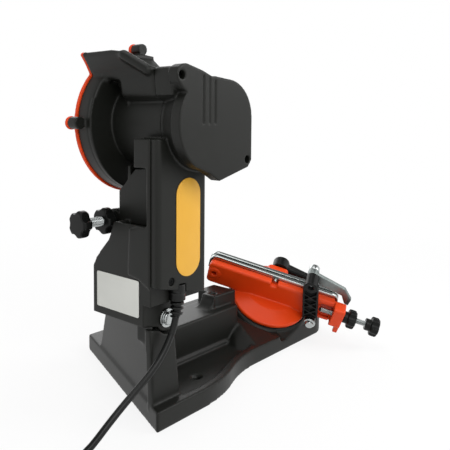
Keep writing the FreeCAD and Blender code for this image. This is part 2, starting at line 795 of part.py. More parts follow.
def hinge_nut():
    x0 = pedestal_block_far_x + tongue_side_gap + 5 + 0.3
    nut = hexagon(V(x0, hinge_y, hinge_z), V(1, 0, 0), 13.0, 6.0)
    return nut.cut(along_x(0.5 * hinge_bolt_d, x0 - 50, x0 + 50, hinge_y, hinge_z))


def vise_body():
    table = rod(table_r, V(0, 0, seat_gap), V(0, 0, 1), table_t)
    table = table.makeFillet(0.6 * table_t, [e for e in circles(table) if e.CenterOfMass.z > table_t])
    dome = Part.makeCone(table_r - 3, 0.6 * table_r, table_dome, V(0, 0, seat_gap + table_t), V(0, 0, 1))
    wall = Part.makeBox(wall_right_u - wall_left_u, 2 * wall_half, wall_top_w - wall_bottom_w,
                        V(wall_left_u, -wall_half, wall_bottom_w))
    wall = rounded(wall, 5.0, V(0, 1, 0), lambda c: c.x < wall_left_u + 1)
    foot = Part.makeBox(2 * foot_half, 2 * wall_half, wall_bottom_w, V(-foot_half, -wall_half, table_t))
    ear = rod(ear_r, V(ear_u, -wall_half - 1.2, ear_w), V(0, 1, 0), 4)
    front_boss = Part.makeBox(24, 6, boss_top_w - lever_w + 14, V(lever_u - 14, wall_half, lever_w - 14))
    front_boss = rounded(front_boss, 5.0, V(0, 1, 0))
    bracket = Part.makeBox(bracket_right_u - bracket_left_u, 15.0, 26,
                           V(bracket_left_u, adjuster_v - 7, 9))
    bracket = rounded(bracket, 3.0, V(1, 0, 0))
    beam = Part.makeBox(bracket_right_u - wall_right_u + 6, 17, 12, V(wall_right_u - 6, -12, 7))
    hook = Part.makeBox(5, 4, 11, V(bracket_right_u - 5, adjuster_v - 5, 0))
    lug = rod(arm_eye_r, V(arm_u, -wall_half - 1.0, arm_w), V(0, 1, 0), 6)
    lug = lug.common(Part.makeBox(400, 400, 60, V(-200, -200, seat_gap)))
    lug_web = Part.makeBox(13, 6, 8, V(arm_u - 8.5, -wall_half - 1.0, arm_w))
    body = join([table, dome, wall, foot, ear, front_boss, bracket, beam, hook, lug, lug_web])
    half = 0.5 * jaw_gap + jaw_t
    trough = Part.makeBox(400, 2 * half + jaw_travel + run_gap, 60, V(-200, -half, jaw_bottom_w - run_gap))
    lower_front = Part.makeBox(400, 60, 60, V(-200, half, wall_front_top_w))
    lower_front = lower_front.cut(Part.makeBox(24, 60, boss_top_w, V(lever_u - 14, half, 0)))
    screw_bay = Part.makeBox(wall_right_u - arm_u - 5, 20, 18, V(arm_u + 5, -wall_half - 16.5, 28.0 - 18))
    chamfer = prism_x([(-wall_half - 1, wall_top_w - 3), (-wall_half - 1, wall_top_w + 9),
                       (-wall_half + 9, wall_top_w + 9)], wall_left_u - 5, wall_right_u)
    cutters = [trough, lower_front, screw_bay, chamfer]
    cutters.append(rod(0.5 * swivel_bolt_d + 0.05, V(0, 0, -20), V(0, 0, 1), jaw_bottom_w + 20))
    cutters.append(rod(7.8, V(0, 0, seat_gap + table_t), V(0, 0, 1), jaw_bottom_w))
    cutters.append(rod(0.5 * ear_hole_d, V(ear_u, -40, ear_w), V(0, 1, 0), 40))
    cutters.append(rod(3.1, V(lever_u, 0, lever_w), V(0, 1, 0), 60))
    bore_from = V(adjuster_tip_u() - 4, adjuster_v, adjuster_w)
    cutters.append(rod(0.5 * adjuster_d + 0.05, bore_from, V(1, 0, 0), 100))
    cutters.append(rod(2.6, V(arm_u, -40, arm_w), V(0, 1, 0), 40))
    cutters.append(Part.makeBox(notch_width, wall_half, 20,
                                V(-0.5 * notch_width, -wall_half - 2, wall_top_w - notch_depth)))
    return less(body, cutters)


def jaw(v0):
    plate = Part.makeBox(jaw_right_u - jaw_left_u, jaw_t, jaw_top_w - jaw_bottom_w,
                         V(jaw_left_u, v0, jaw_bottom_w))
    return rounded(plate, jaw_corner_r, V(0, 1, 0), lambda c: c.z > 0.5 * (jaw_top_w + jaw_bottom_w))


def fixed_jaw():
    v0 = -0.5 * jaw_gap - jaw_t
    rivet = rod(0.3 * notch_width, V(0, v0 - 2.5, wall_top_w - 0.5 * notch_depth), V(0, 1, 0), 3)
    return join([jaw(v0), rivet])


def moving_jaw():
    plate = jaw(0.5 * jaw_gap)
    return plate.cut(rod(3.05, V(lever_u, -20, lever_w), V(0, 1, 0), 40))


def clamp_bolt():
    v0 = -0.5 * jaw_gap
    return rod(3.0, V(lever_u, v0, lever_w), V(0, 1, 0), wall_half + 6 + lever_hub_h - 3 - v0)


def clamp_lever():
    v0 = wall_half + 6 + run_gap
    hub = rod(lever_hub_r, V(lever_u, v0, lever_w), V(0, 1, 0), lever_hub_h)
    d = V(math.cos(math.radians(lever_dip_deg)), 0, -math.sin(math.radians(lever_dip_deg)))
    start = V(lever_u, v0 + lever_arm_r + 0.4, lever_w)
    arm = Part.makeCone(lever_arm_r, lever_arm_r - 1, lever_arm, start, d)
    tip = Part.makeSphere(lever_arm_r - 0.9, start + d * lever_arm)
    body = join([hub, arm, tip])
    return less(body, [rod(3.05, V(lever_u, v0 - 1, lever_w), V(0, 1, 0), lever_hub_h - 1)])


def stop_arm():
    # Ribbed arm: two flanges, a thin web and crossed ribs, on a pivot eye and a head tube.
    v0 = -wall_half - 1.0 - arm_gap - arm_thickness
    low = V(arm_u, v0, arm_w)
    top = V(arm_top_u, v0, arm_top_w)
    d = top - low
    length = d.Length
    d.normalize()
    tilt = math.degrees(math.atan2(d.x, d.z))
    half = 0.5 * arm_width
    foot = 5.0
    parts = [Part.makeBox(arm_width, 1.6, length - foot, V(-half, 0.5 * arm_thickness - 0.8, foot))]
    parts.append(Part.makeBox(6.0, 1.6, foot, V(-3.0, 0.5 * arm_thickness - 0.8, 0)))
    for x in (-half, half - 1.8):
        parts.append(Part.makeBox(1.8, arm_thickness, length - foot, V(x, 0, foot)))
    bays = 3
    pitch = (length - 18.0) / bays
    slope = math.degrees(math.atan2(arm_width, pitch))
    for i in range(bays):
        for s in (-1, 1):
            rib = Part.makeBox(1.4, arm_thickness, math.hypot(arm_width, pitch), V(-0.7, 0, 0))
            rib.rotate(V(0, 0, 0), V(0, 1, 0), s * slope)
            rib.translate(V(-s * half, 0, 9.0 + i * pitch))
            parts.append(rib.common(Part.makeBox(arm_width, arm_thickness, length, V(-half, 0, 0))))
    parts.append(rod(arm_eye_r, V(0, 0, 0), V(0, 1, 0), arm_thickness))
    body = join(parts)
    body.rotate(V(0, 0, 0), V(0, 1, 0), tilt)
    body.translate(low)
    tube = rod(6.8, top, V(0, 1, 0), tube_end_v - v0)
    body = join([body, tube])
    bores = [rod(2.55, low - V(0, 5, 0), V(0, 1, 0), 40)]
    bores.append(rod(0.5 * pin_d, top - V(0, 5, 0), V(0, 1, 0), 80))
    return less(body, bores)


def arm_v0():
    return -wall_half - 1.0 - arm_gap - arm_thickness


def stop_pivot():
    p = V(arm_u, arm_v0() - 1.6, arm_w)
    bolt = pan_screw(p, V(0, 1, 0), 4.6, 3.2, 2.5, arm_thickness + 12)
    washer = rod(6.4, p, V(0, 1, 0), 1.2)
    return join([bolt, washer])


def stop_pin():
    top = V(arm_top_u, arm_v0() + 3, arm_top_w)
    end_v = tube_end_v + pawl_eye + 2 * run_gap
    shank = rod(0.5 * pin_d, top, V(0, 1, 0), end_v - top.y)
    cap = rod(5.6, V(arm_top_u, end_v, arm_top_w), V(0, 1, 0), 6.5)
    return join([shank, cap])


def stop_pawl():
    v0 = tube_end_v + run_gap
    eye = rod(6.0, V(arm_top_u, v0, arm_top_w), V(0, 1, 0), pawl_eye)
    outline = [(1.0, 5.9), (36.0, -3.2), (46.0, -15.0), (45.0, -24.0), (40.5, -23.0), (35.0, -13.0),
               (2.0, -5.6)]
    blade = face_of([V(arm_top_u + du, v0, arm_top_w + dw) for du, dw in outline]).extrude(V(0, pawl_t, 0))
    bore = rod(0.5 * pin_d + 0.05, V(arm_top_u, v0 - 1, arm_top_w), V(0, 1, 0), pawl_eye + 2)
    return less(join([eye, blade]), [bore])


def adjuster_tip_u():
    t = (adjuster_w - arm_w) / (arm_top_w - arm_w)
    return arm_u + t * (arm_top_u - arm_u) + 0.5 * arm_width + adjuster_tip_gap


def adjuster_screw():
    u0 = adjuster_tip_u()
    u1 = bracket_right_u + adjuster_reach
    point = Part.makeCone(0.3 * adjuster_d, 0.5 * adjuster_d, adjuster_point,
                          V(u0, adjuster_v, adjuster_w), V(1, 0, 0))
    shank = rod(0.5 * adjuster_d, V(u0 + adjuster_point, adjuster_v, adjuster_w), V(1, 0, 0),
                u1 - u0 - adjuster_point)
    return join([point, shank])


def adjuster_lock():
    p = V(bracket_right_u + run_gap, adjuster_v, adjuster_w)
    return star_knob(p, V(1, 0, 0), 0.92 * knob_r, knob_h, 0.5 * adjuster_d + 0.05)


def adjuster_knob():
    u1 = bracket_right_u + adjuster_reach
    u0 = u1 + 2.0 - end_knob_h
    knob = star_knob(V(u0, adjuster_v, adjuster_w), V(1, 0, 0), 0.92 * knob_r, end_knob_h, 0)
    bore = rod(0.5 * adjuster_d + 0.05, V(u0 - 5, adjuster_v, adjuster_w), V(1, 0, 0), u1 - u0 + 5.05)
    return knob.cut(bore)


def swivel_bolt():
    head = hexagon(V(0, 0, seat_gap + table_t), V(0, 0, 1), 12.8, 5.3)
    return join([head, rod(0.5 * swivel_bolt_d, V(0, 0, -26.0), V(0, 0, 1), 26.0 + seat_gap + table_t + 1)])


def swivel_knob():
    p = V(0, 0, -seat_plate - run_gap)
    return star_knob(p, V(0, 0, -1), knob_r, knob_h, 0.5 * swivel_bolt_d + 0.05)


def relief_frame(t):
    # Point and direction on the boot: t 0 to 1 runs from the start of the bend to its end.
    a = math.radians(relief_bend_deg) * t
    back = relief_bend_r * (1 - math.cos(a))
    p = V(relief_x, relief_y + back, relief_bend_z - relief_bend_r * math.sin(a))
    return p, V(0, math.sin(a), -math.cos(a))


def strain_relief():
    # Rubber boot: a collar in the housing, then a slim bent core with tapering ribs.
    top = V(relief_x, relief_y, relief_top_z - 0.5)
    collar = rod(relief_collar_r, top, V(0, 0, -1), 13)
    first, d0 = relief_frame(0)
    mid, d1 = relief_frame(0.5)
    last, d2 = relief_frame(1)
    edges = [Part.makeLine(top - V(0, 0, 6), first), Part.Arc(first, mid, last).toShape()]
    core = pipe(edges, relief_end_r - 0.6)
    ribs = []
    for i in range(relief_ribs):
        t = (i + 0.5) / relief_ribs
        p, d = relief_frame(t)
        r = relief_collar_r - 1.0 + t * (relief_end_r - relief_collar_r + 1.0)
        ribs.append(rod(r, p - d, d, 2.0))
    return join([collar, core] + ribs)


def rounded_route(points):
    # Straight runs joined by tangent arcs, each arc as large as its two runs allow.
    edges = []
    radii = []
    last = points[0]
    for i in range(1, len(points) - 1):
        p = points[i]
        a = points[i - 1] - p
        b = points[i + 1] - p
        short = min(a.Length, b.Length)
        a.normalize()
        b.normalize()
        turn = math.pi - a.getAngle(b)
        cut = 0.45 * short
        radii.append(cut / math.tan(0.5 * turn))
        s = p + a * cut
        e = p + b * cut
        mid_dir = a + b
        mid_dir.normalize()
        depth = radii[-1] / math.cos(0.5 * turn) - radii[-1]
        edges.append(Part.makeLine(last, s))
        edges.append(Part.Arc(s, p + mid_dir * depth, e).toShape())
        last = e
    edges.append(Part.makeLine(last, points[-1]))
    return edges, radii


def biarc(p0, t0, p1, t1):
    # Two tangent arcs from p0 along t0 to p1 along t1.
    v = p1 - p0
    t = t0 + t1
    a = 2 * (1 - t0.dot(t1))
    b = v.dot(t)
    c = v.dot(v)
    if abs(a) < 1e-9:
        d = c / (4 * v.dot(t1))
    else:
        d = (-b + math.sqrt(b * b + a * c)) / a
    q = (p0 + p1 + (t0 - t1) * d) * 0.5
    return [half_arc(p0, t0, q), half_arc(p1, t1 * -1, q).reversed()]


def half_arc(p, t, q):
    chord = q - p
    side = chord - t * chord.dot(t)
    if side.Length < 1e-7 * chord.Length:
        return Part.makeLine(p, q)
    side.normalize()
    r = chord.dot(chord) / (2 * chord.dot(side))
    centre = p + side * r
    out = (p + q) * 0.5 - centre
    out.normalize()
    return Part.Arc(p, centre + out * r, q).toShape()


def pipe(edges, r):
    wire = Part.Wire(edges)
    start = wire.Edges[0].valueAt(wire.Edges[0].FirstParameter)
    d = wire.Edges[0].tangentAt(wire.Edges[0].FirstParameter)
    ring = Part.Wire(Part.makeCircle(r, start, d))
    return wire.makePipeShell([ring], True, True)


def coil_point(turn):
    # Spiral in on the bench, climb in the half turn where it reverses, spiral out on top.
    r = coil_inner_r + coil_pitch * abs(turn - coil_turns - 0.25) - 0.25 * coil_pitch
    climb = min(1.0, max(0.0, (turn - coil_turns) / 0.5))
    z = 0.5 * cord_d + coil_layer * climb * climb * (3 - 2 * climb)
    a = math.radians(coil_start_deg) + 2 * math.pi * turn
    return V(coil_x + r * math.cos(a), coil_y + r * math.sin(a), z)


def coil_tangent(turn):
    h = 1e-4
    t = coil_point(turn + h) - coil_point(turn - h)
    t.normalize()
    return t


def coil_edges():
    end = 2 * coil_turns + 0.25
    steps = int(round(end * 4))
    edges = []
    for i in range(steps):
        a = end * i / steps
        b = end * (i + 1) / steps
        edges += biarc(coil_point(a), coil_tangent(a), coil_point(b), coil_tangent(b))
    edges.append(Part.makeLine(coil_point(end), plug_frame()[0]))
    return edges


def cord_points():
    start, d = relief_frame(1)
    first = coil_point(0)
    lead = coil_tangent(0)
    z = 0.5 * cord_d
    return [start, start + d * 20, V(-81, 112, 30), V(-77.5, 144, z + 0.4), first - lead * 33, first]


def cord_run():
    edges, radii = rounded_route(cord_points())
    tube = pipe(edges, 0.5 * cord_d)
    length = sum(e.Length for e in edges)
    print("cord run radii", [round(r, 1) for r in radii], "length", round(length, 1),
          "volume ratio", round(tube.Volume / (length * math.pi * cord_d ** 2 / 4), 4))
    return tube


def cord_coil():
    edges = coil_edges()
    pts = []
    for e in edges:
        pts += e.discretize(6)[:-1]
    gap = 1e9
    for i in range(len(pts)):
        for j in range(i + 30, len(pts)):
            gap = min(gap, (pts[i] - pts[j]).Length)
    print("coil length", round(sum(e.Length for e in edges), 1), "least gap", round(gap - cord_d, 2))
    return pipe(edges, 0.5 * cord_d)


def plug_frame():
    end = 2 * coil_turns + 0.25
    d = coil_tangent(end)
    return coil_point(end) + d * coil_tail, d


def plug_body():
    p, d = plug_frame()
    boot = Part.makeCone(0.5 * cord_d + 0.6, 5.6, 18, p, d)
    grip = Part.makeCone(5.6, 8.2, 16, p + d * 18, d)
    face = rod(8.2, p + d * 34, d, 5)
    return join([boot, grip, face])


def plug_pins():
    p, d = plug_frame()
    side = d.cross(V(0, 0, 1))
    side.normalize()
    return solids([rod(2.0, p + d * 39 + side * s * 9.5 * 0.5, d, 19) for s in (-1, 1)])


def placed(shape):
    return on_seat(shape, vise_swing_deg)


def build():
    nodes = {}
    nodes["base_moulding"] = base_moulding()
    nodes["hinge_bolt"] = hinge_bolt()
    nodes["hinge_nut"] = hinge_nut()
    nodes["guard_side_shell"] = guard_side_shell()
    nodes["motor_side_shell"] = motor_side_shell()
    nodes["guard_cover"] = guard_cover()
    nodes["guard_screws"] = guard_screws()
    nodes["housing_screws"] = housing_screws()
    nodes["neck_label"] = neck_label()
    nodes["rating_plate"] = rating_plate()
    nodes["switch_bezel"] = switch_bezel()
    nodes["switch_rocker"] = switch_rocker()
    nodes["motor_stator"] = stator()
    nodes["motor_rotor"] = rotor()
    nodes["cooling_fan"] = fan()
    nodes["shaft_bearings"] = bearings()
    nodes["arbor_shaft"] = arbor_shaft()
    nodes["inner_flange"] = inner_flange()
    nodes["grinding_disc"] = grinding_disc()
    nodes["outer_flange"] = outer_flange()
    nodes["arbor_nut"] = arbor_nut()
    nodes["depth_screw"] = depth_screw()
    nodes["depth_knob"] = depth_knob()
    nodes["depth_lock"] = depth_lock()
    nodes["vise_body"] = placed(vise_body())
    nodes["fixed_jaw"] = placed(fixed_jaw())
    nodes["moving_jaw"] = placed(moving_jaw())
    nodes["clamp_bolt"] = placed(clamp_bolt())
    nodes["clamp_lever"] = placed(clamp_lever())
    nodes["stop_arm"] = placed(stop_arm())
    nodes["stop_pivot"] = placed(stop_pivot())
    nodes["stop_pin"] = placed(stop_pin())
    nodes["stop_pawl"] = placed(stop_pawl())
    nodes["adjuster_screw"] = placed(adjuster_screw())
    nodes["adjuster_knob"] = placed(adjuster_knob())
    nodes["adjuster_lock"] = placed(adjuster_lock())
    nodes["swivel_bolt"] = placed(swivel_bolt())
    nodes["swivel_knob"] = placed(swivel_knob())
    nodes["strain_relief"] = strain_relief()
    nodes["cord_run"] = cord_run()
    nodes["cord_coil"] = cord_coil()
    nodes["plug_body"] = plug_body()
    nodes["plug_pins"] = plug_pins()
    return nodes


os.makedirs("parts", exist_ok=True)
for name, shape in build().items():
    shape.exportStep("parts/" + name + ".step")
    if not shape.isValid():
        print("not valid:", name)
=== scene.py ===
import json
import math

import bpy
from mathutils import Matrix, Vector

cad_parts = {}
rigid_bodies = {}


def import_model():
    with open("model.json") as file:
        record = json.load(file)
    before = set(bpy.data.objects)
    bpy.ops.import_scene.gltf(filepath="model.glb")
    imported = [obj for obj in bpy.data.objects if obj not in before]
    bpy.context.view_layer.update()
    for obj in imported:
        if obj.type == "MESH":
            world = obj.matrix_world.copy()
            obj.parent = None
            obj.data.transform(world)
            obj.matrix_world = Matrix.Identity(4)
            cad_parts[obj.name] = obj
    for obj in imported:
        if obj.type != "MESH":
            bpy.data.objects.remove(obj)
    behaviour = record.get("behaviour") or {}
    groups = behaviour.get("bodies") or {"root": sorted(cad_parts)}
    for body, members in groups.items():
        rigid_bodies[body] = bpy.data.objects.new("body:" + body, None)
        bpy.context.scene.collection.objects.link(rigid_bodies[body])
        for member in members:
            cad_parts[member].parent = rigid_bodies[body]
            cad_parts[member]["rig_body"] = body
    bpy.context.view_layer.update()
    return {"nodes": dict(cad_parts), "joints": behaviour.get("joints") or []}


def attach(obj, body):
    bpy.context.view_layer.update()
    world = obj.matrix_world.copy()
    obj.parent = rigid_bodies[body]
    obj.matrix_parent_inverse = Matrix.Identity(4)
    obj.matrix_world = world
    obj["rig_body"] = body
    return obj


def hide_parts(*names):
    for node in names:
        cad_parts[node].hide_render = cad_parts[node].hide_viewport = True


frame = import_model()
nodes = frame["nodes"]
mm = 0.001
weldGap = 0.02 * mm
threadWeld = 0.005 * mm
flatWithin, edgeOver, smoothUnder, insideSmooth = (math.radians(a) for a in (0.5, 40, 38, 30))
print("frame loaded:", len(nodes), "CAD pieces")


def linear(hexText):
    channels = [int(hexText[i:i + 2], 16) / 255 for i in (0, 2, 4)]
    bent = [c / 12.92 if c <= 0.04045 else ((c + 0.055) / 1.055) ** 2.4 for c in channels]
    return (*bent, 1.0)


def addNode(tree, kind, settings=None, links=None):
    node = tree.nodes.new(kind)
    for name, value in (settings or {}).items():
        if isinstance(name, int) or name in node.inputs:
            node.inputs[name].default_value = value
        else:
            setattr(node, name, value)
    for name, source in (links or {}).items():
        tree.links.new(source, node.inputs[name])
    return node


def startMaterial(name, shader):
    material = bpy.data.materials.new(name)
    material.use_nodes = True
    tree = material.node_tree
    tree.nodes.clear()
    surface = addNode(tree, "ShaderNodeBsdfPrincipled", shader)
    addNode(tree, "ShaderNodeOutputMaterial", {}, {"Surface": surface.outputs["BSDF"]})
    coords = addNode(tree, "ShaderNodeTexCoord").outputs["Object"]
    return material, tree, surface, coords


def addNoise(tree, coords, sizeMm, settings):
    noise = addNode(tree, "ShaderNodeTexNoise", {"Scale": 1 / (sizeMm * mm), **settings}, {"Vector": coords})
    return noise.outputs["Fac"]


def mixTones(tree, surface, finish, share):
    tones = {"data_type": "RGBA", 6: linear(finish["dark"]), 7: linear(finish["light"])}
    colour = addNode(tree, "ShaderNodeMix", tones, {0: share})
    tree.links.new(colour.outputs[2], surface.inputs["Base Color"])
    return colour.outputs[2]


def roughen(tree, surface, finish, height, depth):
    # one fine pattern varies the sheen and raises the surface; edges catch the light as if rounded
    sheen = addNode(tree, "ShaderNodeMapRange", {"To Min": finish["smooth"], "To Max": finish["rough"]},
                    {"Value": height})
    tree.links.new(sheen.outputs["Result"], surface.inputs["Roughness"])
    edge = addNode(tree, "ShaderNodeBevel", {"samples": 4, "Radius": finish["edgeMm"] * mm})
    bump = addNode(tree, "ShaderNodeBump", {"Strength": finish["bump"], "Distance": depth},
                   {"Height": height, "Normal": edge.outputs["Normal"]})
    tree.links.new(bump.outputs["Normal"], surface.inputs["Normal"])


def mouldedFinish(name, finish):
    # colour drifts a little over the moulding, and a spark-eroded grain breaks up its sheen
    grainDepth = 0.05 * mm
    material, tree, surface, coords = startMaterial(
        name, {"IOR": finish["ior"], "Specular IOR Level": finish["spec"]})
    drift = addNoise(tree, coords, finish["driftMm"], {"Detail": 2.0})
    mixTones(tree, surface, finish, drift)
    grain = addNoise(tree, coords, finish["grainMm"], {"Detail": 3.0, "Roughness": 0.6})
    roughen(tree, surface, finish, grain, grainDepth)
    return material


def metalFinish(name, finish):
    # long fine scratches along the lay, drawn 0.4 mm wide so that they show
    scratchDepth = 0.03 * mm
    material, tree, surface, coords = startMaterial(name, {"Metallic": 1.0})
    lay = addNode(tree, "ShaderNodeMapping", {"Scale": finish["lay"]}, {"Vector": coords})
    scratch = addNoise(tree, lay.outputs["Vector"], finish["scratchMm"], {"Detail": 2.0})
    mixTones(tree, surface, finish, addNoise(tree, coords, finish["driftMm"], {"Detail": 2.0}))
    roughen(tree, surface, finish, scratch, scratchDepth)
    return material


# glass-filled nylon, moulded in a spark-eroded tool: charcoal with a soft broad sheen
charcoalNylon = mouldedFinish("charcoalNylon", {
    "ior": 1.5, "spec": 0.24, "dark": "121310", "light": "1a1b18", "driftMm": 26, "grainMm": 0.7,
    "smooth": 0.36, "rough": 0.50, "bump": 0.25, "edgeMm": 0.8})
# ABS from a polished tool: saturated orange, clearer reflections
orangeAbs = mouldedFinish("orangeAbs", {
    "ior": 1.53, "spec": 0.24, "dark": "dc3f0f", "light": "e84913", "driftMm": 30, "grainMm": 1.2,
    "smooth": 0.30, "rough": 0.40, "bump": 0.12, "edgeMm": 0.8})
# knobs and switch in black polypropylene, a little shinier than the housing
blackPolypropylene = mouldedFinish("blackPolypropylene", {
    "ior": 1.49, "spec": 0.17, "dark": "0d0e0d", "light": "131413", "driftMm": 12, "grainMm": 0.8,
    "smooth": 0.28, "rough": 0.40, "bump": 0.18, "edgeMm": 0.5})
# cord sheath and boot in synthetic rubber with a soft shine
cordRubber = mouldedFinish("cordRubber", {
    "ior": 1.52, "spec": 0.24, "dark": "0d0e0d", "light": "131413", "driftMm": 20, "grainMm": 0.6,
    "smooth": 0.26, "rough": 0.38, "bump": 0.2, "edgeMm": 0.3})
# vinyl sticker films with a satin laminate
yellowVinyl = mouldedFinish("yellowVinyl", {
    "ior": 1.5, "spec": 0.3, "dark": "dfa638", "light": "e6b042", "driftMm": 18, "grainMm": 1.5,
    "smooth": 0.32, "rough": 0.42, "bump": 0.06, "edgeMm": 0.2})
greyPolyester = mouldedFinish("greyPolyester", {
    "ior": 1.5, "spec": 0.3, "dark": "d9dad4", "light": "e2e3dd", "driftMm": 20, "grainMm": 1.5,
    "smooth": 0.36, "rough": 0.46, "bump": 0.06, "edgeMm": 0.2})
# bright zinc plate on drawn steel
zincSteel = metalFinish("zincSteel", {
    "lay": (1, 1, 1), "scratchMm": 0.4, "driftMm": 9, "dark": "a2a6a6", "light": "c0c4c3", "smooth": 0.18,
    "rough": 0.32, "bump": 0.08, "edgeMm": 0.3})
# jaw rails: cold-rolled strip, nickel bright, lay along the rail
brightSteel = metalFinish("brightSteel", {
    "lay": (1, 1, 1), "scratchMm": 0.5, "driftMm": 16, "dark": "a4a9a8", "light": "bfc4c2", "smooth": 0.14,
    "rough": 0.26, "bump": 0.06, "edgeMm": 0.4})
# sintered steel pawl, grey and dull
sinteredSteel = metalFinish("sinteredSteel", {
    "lay": (1, 1, 1), "scratchMm": 0.5, "driftMm": 5, "dark": "6f7675", "light": "8a918f", "smooth": 0.38,
    "rough": 0.52, "bump": 0.3, "edgeMm": 0.4})
blackOxide = metalFinish("blackOxide", {
    "lay": (1, 1, 1), "scratchMm": 0.4, "driftMm": 4, "dark": "151616", "light": "232424", "smooth": 0.3,
    "rough": 0.45, "bump": 0.1, "edgeMm": 0.2})
turnedAluminium = metalFinish("turnedAluminium", {
    "lay": (4, 1, 1), "scratchMm": 0.4, "driftMm": 10, "dark": "b9bcbe", "light": "cdd0d1", "smooth": 0.22,
    "rough": 0.36, "bump": 0.12, "edgeMm": 0.3})
motorLamination = metalFinish("motorLamination", {
    "lay": (6, 1, 1), "scratchMm": 0.5, "driftMm": 8, "dark": "5d5f60", "light": "77797a", "smooth": 0.35,
    "rough": 0.5, "bump": 0.3, "edgeMm": 0.3})
nickelBrass = metalFinish("nickelBrass", {
    "lay": (1, 1, 1), "scratchMm": 0.4, "driftMm": 6, "dark": "c9b079", "light": "d8c08a", "smooth": 0.16,
    "rough": 0.28, "bump": 0.05, "edgeMm": 0.3})


def abrasiveFinish(name, finish):
    # pink aluminium oxide grit in a vitrified bond; the sunken pores between the grains get painted shade, a
    # darker colour
    material, tree, surface, coords = startMaterial(name, {"Roughness": finish["rough"], "IOR": finish["ior"]})
    grit = addNode(tree, "ShaderNodeTexVoronoi", {"Scale": 1 / (finish["gritMm"] * mm)}, {"Vector": coords})
    grain = mixTones(tree, surface, finish, addNoise(tree, coords, finish["toneMm"], {"Detail": 4.0}))
    depth = grit.outputs["Distance"]
    # painted shade: the gaps between the grains, which the bump sinks, take the darker pore colour
    poreShade = addNode(tree, "ShaderNodeMapRange", {"From Max": finish["poreFrom"]}, {"Value": depth})
    colour = addNode(tree, "ShaderNodeMix", {"data_type": "RGBA", 7: linear(finish["poreShade"])},
                     {0: poreShade.outputs["Result"], 6: grain})
    tree.links.new(colour.outputs[2], surface.inputs["Base Color"])
    bump = addNode(tree, "ShaderNodeBump",
                   {"Strength": finish["bump"], "Distance": finish["bumpMm"] * mm, "invert": True},
                   {"Height": depth})
    tree.links.new(bump.outputs["Normal"], surface.inputs["Normal"])
    return material


# the pore colour is painted shade for the sunken gaps between the grains
vitrifiedGrit = abrasiveFinish("vitrifiedGrit", {
    "gritMm": 0.9, "toneMm": 4, "dark": "a95f52", "light": "c98576", "poreShade": "6d3b33", "poreFrom": 0.7,
    "rough": 0.86, "ior": 1.6, "bump": 0.6, "bumpMm": 0.2})
print("materials ready")


def pick(obj):
    bpy.ops.object.select_all(action="DESELECT")
    obj.select_set(True)
    bpy.context.view_layer.objects.active = obj


def applyAll(obj):
    pick(obj)
    for modifier in list(obj.modifiers):
        bpy.ops.object.modifier_apply(modifier=modifier.name)


def dress(obj, material):
    obj.data.materials.clear()
    obj.data.materials.append(material)


def addModifier(obj, kind, settings):
    modifier = obj.modifiers.new(kind.lower(), kind)
    for name, value in settings.items():
        setattr(modifier, name, value)


def editAll(*steps):
    bpy.ops.object.mode_set(mode="EDIT")
    bpy.ops.mesh.select_all(action="SELECT")
    for step in steps:
        step()
    bpy.ops.object.mode_set(mode="OBJECT")


def faceOut():
    bpy.ops.mesh.normals_make_consistent(inside=False)


def bodyOf(nodeName):
    return nodes[nodeName]["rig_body"]


def turnTo(along):
    return Vector(along).to_track_quat("Z", "Y").to_euler()


def addRod(start, end, radius, endRadius=None, sides=40):
    # a round bar between two places in millimetres
    bpy.ops.object.select_all(action="DESELECT")
    start, end = Vector(start) * mm, Vector(end) * mm
    bpy.ops.mesh.primitive_cone_add(
        vertices=sides, radius1=radius * mm, radius2=(radius if endRadius is None else endRadius) * mm,
        depth=(end - start).length, location=(start + end) / 2, rotation=turnTo(end - start))
    rod = bpy.context.object
    bpy.ops.object.transform_apply(location=True, rotation=True, scale=True)
    return rod


def addBar(low, high):
    # a square bar between two corners in millimetres
    bpy.ops.object.select_all(action="DESELECT")
    low, high = Vector(low) * mm, Vector(high) * mm
    bpy.ops.mesh.primitive_cube_add(size=1, location=(low + high) / 2)
    bar = bpy.context.object
    bar.scale = high - low
    bpy.ops.object.transform_apply(location=True, rotation=True, scale=True)
    return bar


def fromPoints(name, points, faces):
    mesh = bpy.data.meshes.new(name)
    mesh.from_pydata([tuple(c * mm for c in point) for point in points], [], faces)
    piece = bpy.data.objects.new(name, mesh)
    bpy.context.scene.collection.objects.link(piece)
    pick(piece)
    return piece


def addPrism(outline, low, high):
    # an outline in x and z, in millimetres, drawn out along y
    count = len(outline)
    corners = [(x, y, z) for y in (low, high) for x, z in outline]
    sides = [(i, (i + 1) % count, count + (i + 1) % count, count + i) for i in range(count)]
    prism = fromPoints("prism", corners, [tuple(range(count)), tuple(range(count, 2 * count)), *sides])
    editAll(faceOut)
    return prism


def hullOf(points):
    # the tight solid round some points, in millimetres
    hull = fromPoints("hull", points, [])
    editAll(bpy.ops.mesh.convex_hull)
    return hull


def cutAway(piece, cutter):
    addModifier(piece, "BOOLEAN", {"operation": "DIFFERENCE", "solver": "EXACT", "object": cutter})
    applyAll(piece)
    bpy.data.objects.remove(cutter)


def joinTo(piece, extras):
    bpy.ops.object.select_all(action="DESELECT")
    for extra in extras:
        extra.select_set(True)
    piece.select_set(True)
    bpy.context.view_layer.objects.active = piece
    bpy.ops.object.join()


def looseCopy(nodeName, pieceName):
    # a merged copy of the solid's mesh, free to be shaped
    piece = nodes[nodeName].copy()
    piece.data = nodes[nodeName].data.copy()
    piece.name = pieceName
    for key in list(piece.keys()):
        del piece[key]
    piece.parent = None
    bpy.context.scene.collection.objects.link(piece)
    pick(piece)
    editAll(lambda: bpy.ops.mesh.remove_doubles(threshold=weldGap))
    return piece


def standFor(piece, nodeName, material):
    dress(piece, material)
    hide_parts(nodeName)
    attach(piece, bodyOf(nodeName))
    print(piece.name, len(piece.data.polygons), "faces")


def within(place, low, high):
    return all(a * mm <= b <= c * mm for a, b, c in zip(low, place, high))


